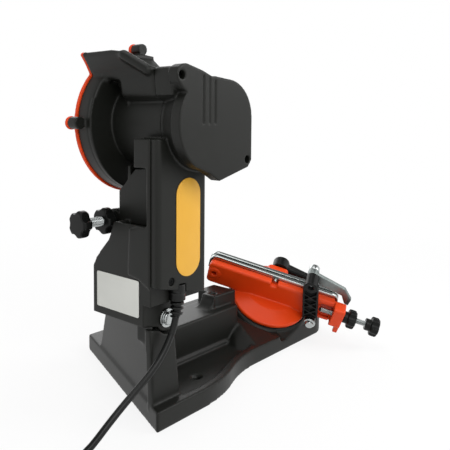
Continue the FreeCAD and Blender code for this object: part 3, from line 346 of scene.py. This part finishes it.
def softenedCopy(nodeName, pieceName, plan, material, shape=None):
    # the moulding itself, with what shape cuts off and welds on, and its edges rolled over as a tool's radii do
    piece = looseCopy(nodeName, pieceName)
    if shape:
        joinTo(piece, shape(piece))
    addModifier(piece, "REMESH", {"mode": "VOXEL", "voxel_size": plan["voxelMm"] * mm})
    applyAll(piece)
    addModifier(piece, "SMOOTH", {"factor": 0.5, "iterations": plan["rounds"]})
    if "blend" in plan:
        low, high, rounds = plan["blend"]
        group = piece.vertex_groups.new(name="blend")
        group.add([v.index for v in piece.data.vertices if within(v.co, low, high)], 1.0, "REPLACE")
        addModifier(piece, "SMOOTH", {"factor": 0.5, "iterations": rounds, "vertex_group": "blend"})
    if plan["keep"] < 1:
        addModifier(piece, "DECIMATE", {"ratio": plan["keep"]})
    applyAll(piece)
    piece.vertex_groups.clear()
    bpy.ops.object.shade_smooth()
    standFor(piece, nodeName, material)
    return piece


def crispCopy(nodeName, pieceName, edgeMm, material, shape=None):
    # a machined or stamped piece: flat faces made whole again, then a small bevel on every edge
    piece = looseCopy(nodeName, pieceName)
    editAll(lambda: bpy.ops.mesh.dissolve_limited(angle_limit=flatWithin))
    addModifier(piece, "BEVEL", {"width": edgeMm * mm, "segments": 2, "limit_method": "ANGLE",
                                 "angle_limit": edgeOver})
    applyAll(piece)
    if shape:
        shape(piece)
    pick(piece)
    bpy.ops.object.shade_smooth_by_angle(angle=smoothUnder)
    standFor(piece, nodeName, material)
    return piece


# the camera stands at the photograph's viewing angle
viewPlan = {"place": (-0.405, 0.378, 0.240), "heading": 40.2, "pitch": 3.61, "roll": 0.47, "lens": 47.36,
            "sensor": 36, "shiftY": -0.151, "nearest": 0.01}


def makeCamera():
    heading, pitch, roll = (math.radians(viewPlan[k]) for k in ("heading", "pitch", "roll"))
    level = math.cos(pitch)
    ahead = Vector((math.sin(heading) * level, -math.cos(heading) * level, -math.sin(pitch)))
    right = Vector((-math.cos(heading), -math.sin(heading), 0))
    up = right.cross(ahead)
    right, up = right * math.cos(roll) + up * math.sin(roll), up * math.cos(roll) - right * math.sin(roll)
    data = bpy.data.cameras.new("photoCamera")
    data.lens = viewPlan["lens"]
    data.sensor_width = viewPlan["sensor"]
    data.shift_y = viewPlan["shiftY"]
    data.clip_start = viewPlan["nearest"]
    camera = bpy.data.objects.new("photoCamera", data)
    bpy.context.scene.collection.objects.link(camera)
    turn = Matrix((right, up, -ahead)).transposed()
    camera.matrix_world = Matrix.Translation(viewPlan["place"]) @ turn.to_4x4()
    bpy.context.scene.camera = camera


makeCamera()
print("camera set")


# one rubber lead runs from the boot to the put-away coil and its plug; millimetres, as in the part's source
cordPlan = {
    "diameter": 5.4 * mm, "turns": 4, "pitch": 6.0, "innerR": 21.6, "centre": (-100.0, 210.0),
    "startAngle": -10.0, "layer": 6.0, "tail": 50.0, "reach": 33.0, "perTurn": 16,
    "lead": [(-81.5, 58.438, 72.179), (-81.5, 67.827, 54.520), (-81, 112, 30), (-77.5, 144, 3.1)]}


def coilPoint(turn):
    plan = cordPlan
    r = plan["innerR"] + plan["pitch"] * (abs(turn - plan["turns"] - 0.25) - 0.25)
    climb = min(1.0, max(0.0, (turn - plan["turns"]) / 0.5))
    z = 500 * plan["diameter"] + plan["layer"] * climb * climb * (3 - 2 * climb)
    a = math.radians(plan["startAngle"]) + 2 * math.pi * turn
    return Vector((plan["centre"][0] + r * math.cos(a), plan["centre"][1] + r * math.sin(a), z))


def cordRoute():
    points = [Vector(p) for p in cordPlan["lead"]]
    lead = (coilPoint(0.001) - coilPoint(0)).normalized()
    points.append(coilPoint(0) - lead * cordPlan["reach"])
    end = 2 * cordPlan["turns"] + 0.25
    steps = int(end * cordPlan["perTurn"])
    points += [coilPoint(end * i / steps) for i in range(steps + 1)]
    away = (coilPoint(end) - coilPoint(end - 0.001)).normalized()
    points.append(coilPoint(end) + away * cordPlan["tail"])
    return points


def makeCord():
    curve = bpy.data.curves.new("supplyCord", "CURVE")
    curve.dimensions = "3D"
    curve.bevel_depth = cordPlan["diameter"] / 2
    curve.bevel_resolution = 4
    curve.use_fill_caps = True
    curve.resolution_u = 6
    route = cordRoute()
    line = curve.splines.new("NURBS")
    line.points.add(len(route) - 1)
    for point, place in zip(line.points, route):
        point.co = (*(place * mm), 1.0)
    line.order_u = 3
    line.use_endpoint_u = True
    cord = bpy.data.objects.new("supplyCord", curve)
    bpy.context.scene.collection.objects.link(cord)
    curve.materials.append(cordRubber)
    return cord, route


cord, route = makeCord()
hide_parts("cord_run", "cord_coil")


def splineLength(cord):
    bare = cord.copy()
    bare.data = cord.data.copy()
    bare.data.bevel_depth = 0
    mesh = bpy.data.meshes.new_from_object(bare)
    points = [v.co for v in mesh.vertices]
    length = sum((b - a).length for a, b in zip(points, points[1:]))
    bpy.data.objects.remove(bare)
    bpy.data.meshes.remove(mesh)
    return length


cordLength = splineLength(cord)
print("cord", round(cordLength, 3), "m")


joints = {joint["name"]: joint for joint in frame["joints"]}


def onVise(along, across, above):
    # a place in the vise's own tilted frame, in millimetres
    place = Vector(joints["vise_swivel"]["pos_m"]) / mm
    for name, reach in (("adjuster_travel", along), ("jaw_slide", across), ("vise_swivel", above)):
        place = place + Vector(joints[name]["axis"]) * reach
    return place


# the base gets the ledge along the spine's foot, the hollow fillet that carries the spine up to the post, the
# skirt that spreads from the vise's seat to the rim, and the bench holes' countersinks
baseDetail = {
    "ledgeLow": (-26.2, -78, 9), "ledgeHigh": (-22, 42, 15.2), "filletR": 13.0, "filletX": (-15, 3),
    "filletY": -68.5, "filletZ": 46.5, "seatR": 51.0, "seatDrop": 2.0, "seatTurns": range(-135, -55, 10),
    "hollowR": 49.3, "hollowReach": (-90, 8),
    "rim": [(-60.4, -82.0, 15.6), (-60.4, -100.0, 15.6), (-60.4, -116.0, 15.6)],
    "foot": [(-26.0, -76.0, 10.8), (-42.0, -71.0, 10.8), (-57.0, -73.0, 10.8)],
    "under": [(-26.0, -78.0, 9.3), (-60.0, -78.0, 9.3), (-60.0, -114.0, 9.3), (-26.0, -104.0, 9.3)],
    "holeX": (-54.0, 54.0), "sinkR": (3.4, 6.2), "sinkZ": (8.3, 11.6), "overrun": 5, "bite": 1}


def baseExtras(base):
    plan = baseDetail
    ledge = addBar(plan["ledgeLow"], plan["ledgeHigh"])
    y, z, r, over, bite = (plan[k] for k in ("filletY", "filletZ", "filletR", "overrun", "bite"))
    near, far = plan["filletX"]
    fillet = addBar((near, y - bite, z - bite), (far, y + r, z + r))
    cutAway(fillet, addRod((near - over, y + r, z + r), (far + over, y + r, z + r), r))
    seat = []
    for turn in plan["seatTurns"]:
        a = math.radians(turn)
        seat.append(onVise(plan["seatR"] * math.cos(a), plan["seatR"] * math.sin(a), -plan["seatDrop"]))
    skirt = hullOf(seat + plan["rim"] + plan["foot"] + plan["under"])
    below, above = plan["hollowReach"]
    cutAway(skirt, addRod(onVise(0, 0, below), onVise(0, 0, above), plan["hollowR"], sides=96))
    low, high = plan["sinkZ"]
    for x in plan["holeX"]:
        cutAway(base, addRod((x, 0, low), (x, 0, high), *plan["sinkR"]))
    return [ledge, fillet, skirt]


# the boot's flared cap under the housing; its ribs stop half way and the lead goes on round the same bend
bootDetail = {
    "at": (-81.5, 52.0), "top": 105.4, "bottom": 100.4, "topR": 7.4, "bottomR": 5.4, "ribsEnd": 85.5,
    "bendZ": 98.0, "bendR": 55.0, "bendDeg": 28.0, "leadR": 2.74, "leadParts": range(3, 11), "parts": 10,
    "cutLow": (-95.5, 36.0, 60.0), "cutSide": (-67.5, 76.0)}


def bootExtras(boot):
    plan = bootDetail
    x, y = plan["at"]
    cutAway(boot, addBar(plan["cutLow"], (*plan["cutSide"], plan["ribsEnd"])))
    places = []
    for part in plan["leadParts"]:
        a = math.radians(plan["bendDeg"]) * part / plan["parts"]
        places.append((x, y + plan["bendR"] * (1 - math.cos(a)), plan["bendZ"] - plan["bendR"] * math.sin(a)))
    lead = [addRod(one, other, plan["leadR"]) for one, other in zip(places, places[1:])]
    return lead + [addRod((x, y, plan["bottom"]), (x, y, plan["top"]), plan["bottomR"], plan["topR"])]


# the end knob's collar, which takes the screw
collarDetail = {"from": 103.0, "to": 110.0, "across": -15.0, "above": 23.0, "radius": 6.3}


def collarExtras(knob):
    plan = collarDetail
    start, end = (onVise(plan[k], plan["across"], plan["above"]) for k in ("from", "to"))
    return [addRod(start, end, plan["radius"])]


# the guard's back is a flat plate that the motor barrel runs up to; the neck stops below the barrel, with a
# pocket in its rear face beside the seam, and the hood's end falls away to the plate
guardDetail = {
    "axisY": 31.5, "axisZ": 236.5, "barrelR": 37.0, "boreR": 33.5, "plateR": 58.3, "dishR": 62.3,
    "plateBore": 30.5, "collarR": 46.0, "backX": -38.5, "plateX": (-22.5, -19.3), "wingZ": 270.0, "openY": 22.5,
    "panelX": (-79.2, -61.0), "panelTop": 225.0, "neckFarX": -36.0, "neckY": (50, 90), "clearZ": 250.0,
    "pocketX": (-75.1, -28.4), "pocketZ": (158.4, 202.5), "pocketY": 66.0, "floorFrom": 40,
    "floorTop": [(-28.4, 181.5), (-47.8, 200.4)], "gussetZ": (250.0, 271.5), "gussetY": (42, 66),
    "ample": ((-60, -60), (0, 120), (150, 320))}


def guardForm(shell):
    plan = guardDetail
    y, z = plan["axisY"], plan["axisZ"]
    back, front = plan["plateX"]
    (lowX, lowY), (highX, highY), (lowZ, highZ) = plan["ample"]

    def rodX(low, high, radius):
        return addRod((low, y, z), (high, y, z), radius, sides=96)

    dish = rodX(plan["backX"], back + 1, plan["dishR"])
    cutAway(dish, rodX(lowX, highX, plan["barrelR"]))
    cutAway(dish, addBar((lowX, lowY, plan["wingZ"]), (highX, highY, highZ)))
    cutAway(shell, dish)
    near, edge = plan["panelX"]
    far, clear, rear = plan["neckFarX"], plan["clearZ"], plan["neckY"][1]
    low, high = plan["pocketZ"]
    step = plan["panelTop"]
    above = addPrism([(near, step), (edge, step), (edge, high), (far, high), (far, clear), (near, clear)],
                     *plan["neckY"])
    cutAway(above, rodX(2 * lowX, highX, plan["barrelR"]))
    cutAway(shell, above)
    start, stop = plan["pocketX"]
    cutAway(shell, addBar((start, plan["pocketY"], low), (far, rear, high + 0.5)))
    plate = rodX(back, front, plan["plateR"])
    cutAway(plate, rodX(lowX, highX, plan["plateBore"]))
    opening = addBar((lowX, lowY, lowZ), (highX, plan["openY"], highZ))
    cutAway(opening, rodX(lowX - 20, highX + 20, plan["collarR"]))
    cutAway(plate, opening)
    barrel = rodX(plan["backX"] - 2, back + 1, plan["barrelR"])
    cutAway(barrel, rodX(lowX, highX, plan["boreR"]))
    floor = addPrism([(start - 2, low - 3), (stop, low - 3), *plan["floorTop"], (start - 2, high)],
                     plan["floorFrom"], plan["pocketY"])
    foot, top = plan["gussetZ"]
    gusset = addPrism([(plan["backX"] - 1, foot), (plan["backX"] - 1, top), (back, top)], *plan["gussetY"])
    return [plate, barrel, floor, gusset]


# the other half's neck comes up to the same level, with its rounded corner
shoulderDetail = {"nearX": -87.0, "seamX": -78.9, "rearY": 78.0, "frontY": 55.0, "from": 200.0, "to": 225.0,
                  "round": 4.0}


def shoulderForm(shell):
    plan = shoulderDetail
    near, seam, rear, front, r = (plan[k] for k in ("nearX", "seamX", "rearY", "frontY", "round"))
    low, high = plan["from"], plan["to"]
    side = addBar((near, front, low), (seam, rear - r, high))
    back = addBar((near + r, front, low), (seam, rear, high))
    return [side, back, addRod((near + r, rear - r, low), (near + r, rear - r, high), r)]


knobPlan = {"voxelMm": 0.45, "rounds": 4, "keep": 0.5}
hoodBlend = ((-80, 50, 256), (-8, 95, 300), 60)
softPlans = {
    "base_moulding": ("mouldedBase", charcoalNylon, {"voxelMm": 1.1, "rounds": 7, "keep": 0.5}, baseExtras),
    "guard_side_shell": ("guardShell", charcoalNylon,
                         {"voxelMm": 0.75, "rounds": 3, "keep": 0.45, "blend": hoodBlend}, guardForm),
    "motor_side_shell": ("motorShell", charcoalNylon,
                         {"voxelMm": 0.7, "rounds": 4, "keep": 0.45}, shoulderForm),
    "guard_cover": ("orangeCover", orangeAbs, {"voxelMm": 0.7, "rounds": 4, "keep": 0.5}, None),
    "vise_body": ("orangeVise", orangeAbs, {"voxelMm": 0.7, "rounds": 5, "keep": 0.45}, None),
    "stop_arm": ("ribbedArm", blackPolypropylene, {"voxelMm": 0.4, "rounds": 3, "keep": 0.6}, None),
    "stop_pawl": ("stopPawl", sinteredSteel, {"voxelMm": 0.4, "rounds": 3, "keep": 0.5}, None),
    "clamp_lever": ("clampLever", blackPolypropylene, {"voxelMm": 0.45, "rounds": 5, "keep": 0.5}, None),
    "depth_knob": ("depthKnob", blackPolypropylene, knobPlan, None),
    "depth_lock": ("depthLockKnob", blackPolypropylene, knobPlan, None),
    "adjuster_knob": ("adjusterKnob", blackPolypropylene, knobPlan, collarExtras),
    "adjuster_lock": ("adjusterLockKnob", blackPolypropylene, knobPlan, None),
    "swivel_knob": ("swivelKnob", blackPolypropylene, knobPlan, None),
    "strain_relief": ("cordBoot", cordRubber, {"voxelMm": 0.35, "rounds": 2, "keep": 0.5}, bootExtras),
    "plug_body": ("plugBody", cordRubber, {"voxelMm": 0.4, "rounds": 4, "keep": 0.5}, None),
}
for nodeName, (pieceName, material, plan, shape) in softPlans.items():
    softenedCopy(nodeName, pieceName, plan, material, shape)
print("moulded pieces softened")


# cross recesses of the screws, all driven along x: face, places (y, z), arm half length, slot width, depth;
# each cutter starts a little outside its face
crossLift = 0.6
crossDetail = {
    "guard": {"face": -0.6, "places": [(95.0, 236.5), (29.28, 299.96), (29.28, 173.04)], "half": 2.1,
              "slot": 0.9, "into": -1.6},
    "cap": {"face": -102.0, "places": [(72.0, 272.1), (-4.5, 207.7)], "half": 1.7, "slot": 0.8, "into": 1.4},
    "neck": {"face": -86.0, "places": [(63.3, 115.7)], "half": 1.7, "slot": 0.8, "into": 1.4},
}


def crossCut(*heads):
    def shape(piece):
        for head in heads:
            plan = crossDetail[head]
            outside = plan["face"] - math.copysign(crossLift, plan["into"])
            x0, x1 = sorted((outside, plan["face"] + plan["into"]))
            for y, z in plan["places"]:
                for dy, dz in ((plan["half"], plan["slot"] / 2), (plan["slot"] / 2, plan["half"])):
                    cutAway(piece, addBar((x0, y - dy, z - dz), (x1, y + dy, z + dz)))
    return shape


crispPlans = {
    "fixed_jaw": ("rearJawRail", brightSteel, 0.45, None),
    "moving_jaw": ("frontJawRail", brightSteel, 0.45, None),
    "hinge_bolt": ("hingeBolt", zincSteel, 0.4, None),
    "hinge_nut": ("hingeNut", zincSteel, 0.4, None),
    "stop_pivot": ("armPivotScrew", zincSteel, 0.35, None),
    "stop_pin": ("armPin", zincSteel, 0.5, None),
    "clamp_bolt": ("clampStud", zincSteel, 0.3, None),
    "swivel_bolt": ("swivelBolt", zincSteel, 0.4, None),
    "arbor_nut": ("arborNut", zincSteel, 0.4, None),
    "guard_screws": ("guardScrews", zincSteel, 0.2, crossCut("guard")),
    "housing_screws": ("housingScrews", blackOxide, 0.25, crossCut("cap", "neck")),
    "inner_flange": ("innerFlange", turnedAluminium, 0.4, None),
    "outer_flange": ("outerFlange", turnedAluminium, 0.5, None),
    "neck_label": ("neckSticker", yellowVinyl, 0.2, None),
    "rating_plate": ("bareRatingPlate", greyPolyester, 0.2, None),
    "switch_bezel": ("switchBezel", blackPolypropylene, 0.4, None),
    "switch_rocker": ("switchRocker", blackPolypropylene, 0.5, None),
    "plug_pins": ("plugPins", nickelBrass, 0.6, None),
}
for nodeName, (pieceName, material, edgeMm, shape) in crispPlans.items():
    crispCopy(nodeName, pieceName, edgeMm, material, shape)
print("machined pieces bevelled")


# rolled threads: the crests stand at the screw's own radius
threadPlans = {
    "depth_screw": {"piece": "depthScrew", "start": Vector((-21, -23.4, 157)), "end": Vector((-21, 101, 157)),
                    "crest": 4.0, "depth": 0.55, "pitch": 1.25, "point": 1.2},
    "adjuster_screw": {"piece": "adjusterScrew", "start": onVise(52.74, -15, 23), "end": onVise(115, -15, 23),
                       "crest": 3.0, "depth": 0.45, "pitch": 1.0, "point": 1.5},
}


def threadedRod(nodeName, plan):
    # a zigzag drawn from axis to axis by extruding one corner, then turned once round
    bpy.ops.object.select_all(action="DESELECT")
    bpy.ops.mesh.primitive_plane_add(size=mm)
    rod = bpy.context.object
    rod.name = plan["piece"]
    length = (plan["end"] - plan["start"]).length
    teeth = int((length - 2 * plan["point"]) / plan["pitch"])
    root = plan["crest"] - plan["depth"]
    tip = root - plan["point"] * 0.7
    profile = [(0, 0), (tip, 0)]
    lead = (length - teeth * plan["pitch"]) / 2
    for i in range(teeth):
        profile += [(root, lead + i * plan["pitch"]), (plan["crest"], lead + (i + 0.5) * plan["pitch"])]
    profile += [(root, length - lead), (tip, length), (0, length)]
    bpy.ops.object.mode_set(mode="EDIT")
    bpy.ops.mesh.merge(type="CENTER")
    for (r0, z0), (r1, z1) in zip(profile, profile[1:]):
        step = ((r1 - r0) * mm, 0, (z1 - z0) * mm)
        bpy.ops.mesh.extrude_region_move(TRANSFORM_OT_translate={"value": step})
    bpy.ops.object.mode_set(mode="OBJECT")
    addModifier(rod, "SCREW", {"axis": "Z", "steps": 20, "render_steps": 20, "use_merge_vertices": True,
                               "merge_threshold": threadWeld})
    applyAll(rod)
    editAll(lambda: bpy.ops.mesh.remove_doubles(threshold=threadWeld), faceOut)
    rod.rotation_euler = turnTo(plan["end"] - plan["start"])
    rod.location = plan["start"] * mm
    bpy.ops.object.transform_apply(location=True, rotation=True, scale=True)
    bpy.ops.object.shade_smooth_by_angle(angle=insideSmooth)
    standFor(rod, nodeName, zincSteel)


for nodeName, plan in threadPlans.items():
    threadedRod(nodeName, plan)
print("screws threaded")


# the solids that keep their own shape inside the housing
finishes = {
    zincSteel: ["shaft_bearings", "arbor_shaft"],
    blackPolypropylene: ["cooling_fan"],
    motorLamination: ["motor_stator", "motor_rotor"],
    vitrifiedGrit: ["grinding_disc"],
}
for material, names in finishes.items():
    for name in names:
        dress(nodes[name], material)
        pick(nodes[name])
        bpy.ops.object.shade_smooth_by_angle(angle=insideSmooth)
print("finishes on")

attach(cord, "base")


studio = {"floorSize": 8.0, "floorColour": "f4f4f4", "floorZ": -0.0002, "floorWhite": 0.84, "fadeFrom": 0.35,
          "fadeTo": 0.9, "worldLight": 0.36, "whiteBelow": 0.28, "dimAbove": 0.80, "topLight": 0.2}


def backdropRays(tree):
    # the rays that see the white backdrop: the camera's own, and those that metal sends on
    path = addNode(tree, "ShaderNodeLightPath").outputs
    mirror = addNode(tree, "ShaderNodeMath", {"operation": "MAXIMUM"},
                     {0: path["Is Glossy Ray"], 1: path["Is Transmission Ray"]})
    seen = addNode(tree, "ShaderNodeMath", {"operation": "MAXIMUM"},
                   {0: path["Is Camera Ray"], 1: mirror.outputs[0]})
    return seen.outputs[0]


def softRange(tree, source, fromLow, fromHigh, toLow, toHigh):
    spread = {"interpolation_type": "SMOOTHSTEP", "From Min": fromLow, "From Max": fromHigh, "To Min": toLow,
              "To Max": toHigh}
    return addNode(tree, "ShaderNodeMapRange", spread, {"Value": source}).outputs["Result"]


def makeStudio():
    scene = bpy.context.scene
    world = bpy.data.worlds.new("whiteStudio")
    world.use_nodes = True
    scene.world = world
    tree = world.node_tree
    tree.nodes.clear()
    seen = backdropRays(tree)
    dim = addNode(tree, "ShaderNodeBackground", {"Color": (1, 1, 1, 1), "Strength": studio["worldLight"]})
    # the backdrop is white at eye level and below, and the room over it is dim
    ray = addNode(tree, "ShaderNodeTexCoord").outputs["Generated"]
    height = addNode(tree, "ShaderNodeSeparateXYZ", {}, {"Vector": ray}).outputs["Z"]
    backdrop = softRange(tree, height, studio["whiteBelow"], studio["dimAbove"], 1.0, studio["topLight"])
    white = addNode(tree, "ShaderNodeBackground", {"Color": (1, 1, 1, 1)}, {"Strength": backdrop})
    mix = addNode(tree, "ShaderNodeMixShader", {}, {0: seen, 1: dim.outputs[0], 2: white.outputs[0]})
    addNode(tree, "ShaderNodeOutputWorld", {}, {"Surface": mix.outputs[0]})
    bpy.ops.mesh.primitive_plane_add(size=studio["floorSize"], location=(0, 0, studio["floorZ"]))
    floor = bpy.context.object
    floor.name = "studioFloor"
    sheet = bpy.data.materials.new("whiteSweep")
    sheet.use_nodes = True
    tree = sheet.node_tree
    tree.nodes.clear()
    coords = addNode(tree, "ShaderNodeTexCoord").outputs["Object"]
    reach = addNode(tree, "ShaderNodeVectorMath", {"operation": "LENGTH"}, {0: coords})
    distance = reach.outputs["Value"]
    fade = softRange(tree, distance, studio["fadeFrom"], studio["fadeTo"], studio["floorWhite"], 1.0)
    share = addNode(tree, "ShaderNodeMath", {"operation": "MULTIPLY"}, {0: fade, 1: backdropRays(tree)})
    paper = addNode(tree, "ShaderNodeBsdfDiffuse", {"Color": linear(studio["floorColour"])})
    glow = addNode(tree, "ShaderNodeEmission", {"Color": (1, 1, 1, 1), "Strength": 1.0})
    mix = addNode(tree, "ShaderNodeMixShader", {},
                  {0: share.outputs[0], 1: paper.outputs[0], 2: glow.outputs[0]})
    addNode(tree, "ShaderNodeOutputMaterial", {}, {"Surface": mix.outputs[0]})
    floor.data.materials.append(sheet)


makeStudio()

softBoxes = {
    "leftBox": {"place": (-0.95, 0.55, 0.95), "aim": (-0.03, 0.0, 0.14), "size": 0.8, "watts": 7},
    "rightBox": {"place": (-0.85, -0.65, 0.75), "aim": (-0.03, -0.05, 0.12), "size": 0.7, "watts": 5.5},
    "topBox": {"place": (0.05, 0.1, 1.25), "aim": (0, -0.05, 0.1), "size": 1.0, "watts": 5.5},
    "backBox": {"place": (0.9, -0.6, 0.6), "aim": (0, 0, 0.15), "size": 0.8, "watts": 4},
}
for name, box in softBoxes.items():
    lamp = bpy.data.lights.new(name, "AREA")
    lamp.size = box["size"]
    lamp.energy = box["watts"]
    holder = bpy.data.objects.new(name, lamp)
    bpy.context.scene.collection.objects.link(holder)
    holder.location = box["place"]
    towards = Vector(box["aim"]) - Vector(box["place"])
    holder.rotation_euler = towards.to_track_quat("-Z", "Y").to_euler()
bpy.context.scene.view_settings.view_transform = "Standard"
print("studio lit")
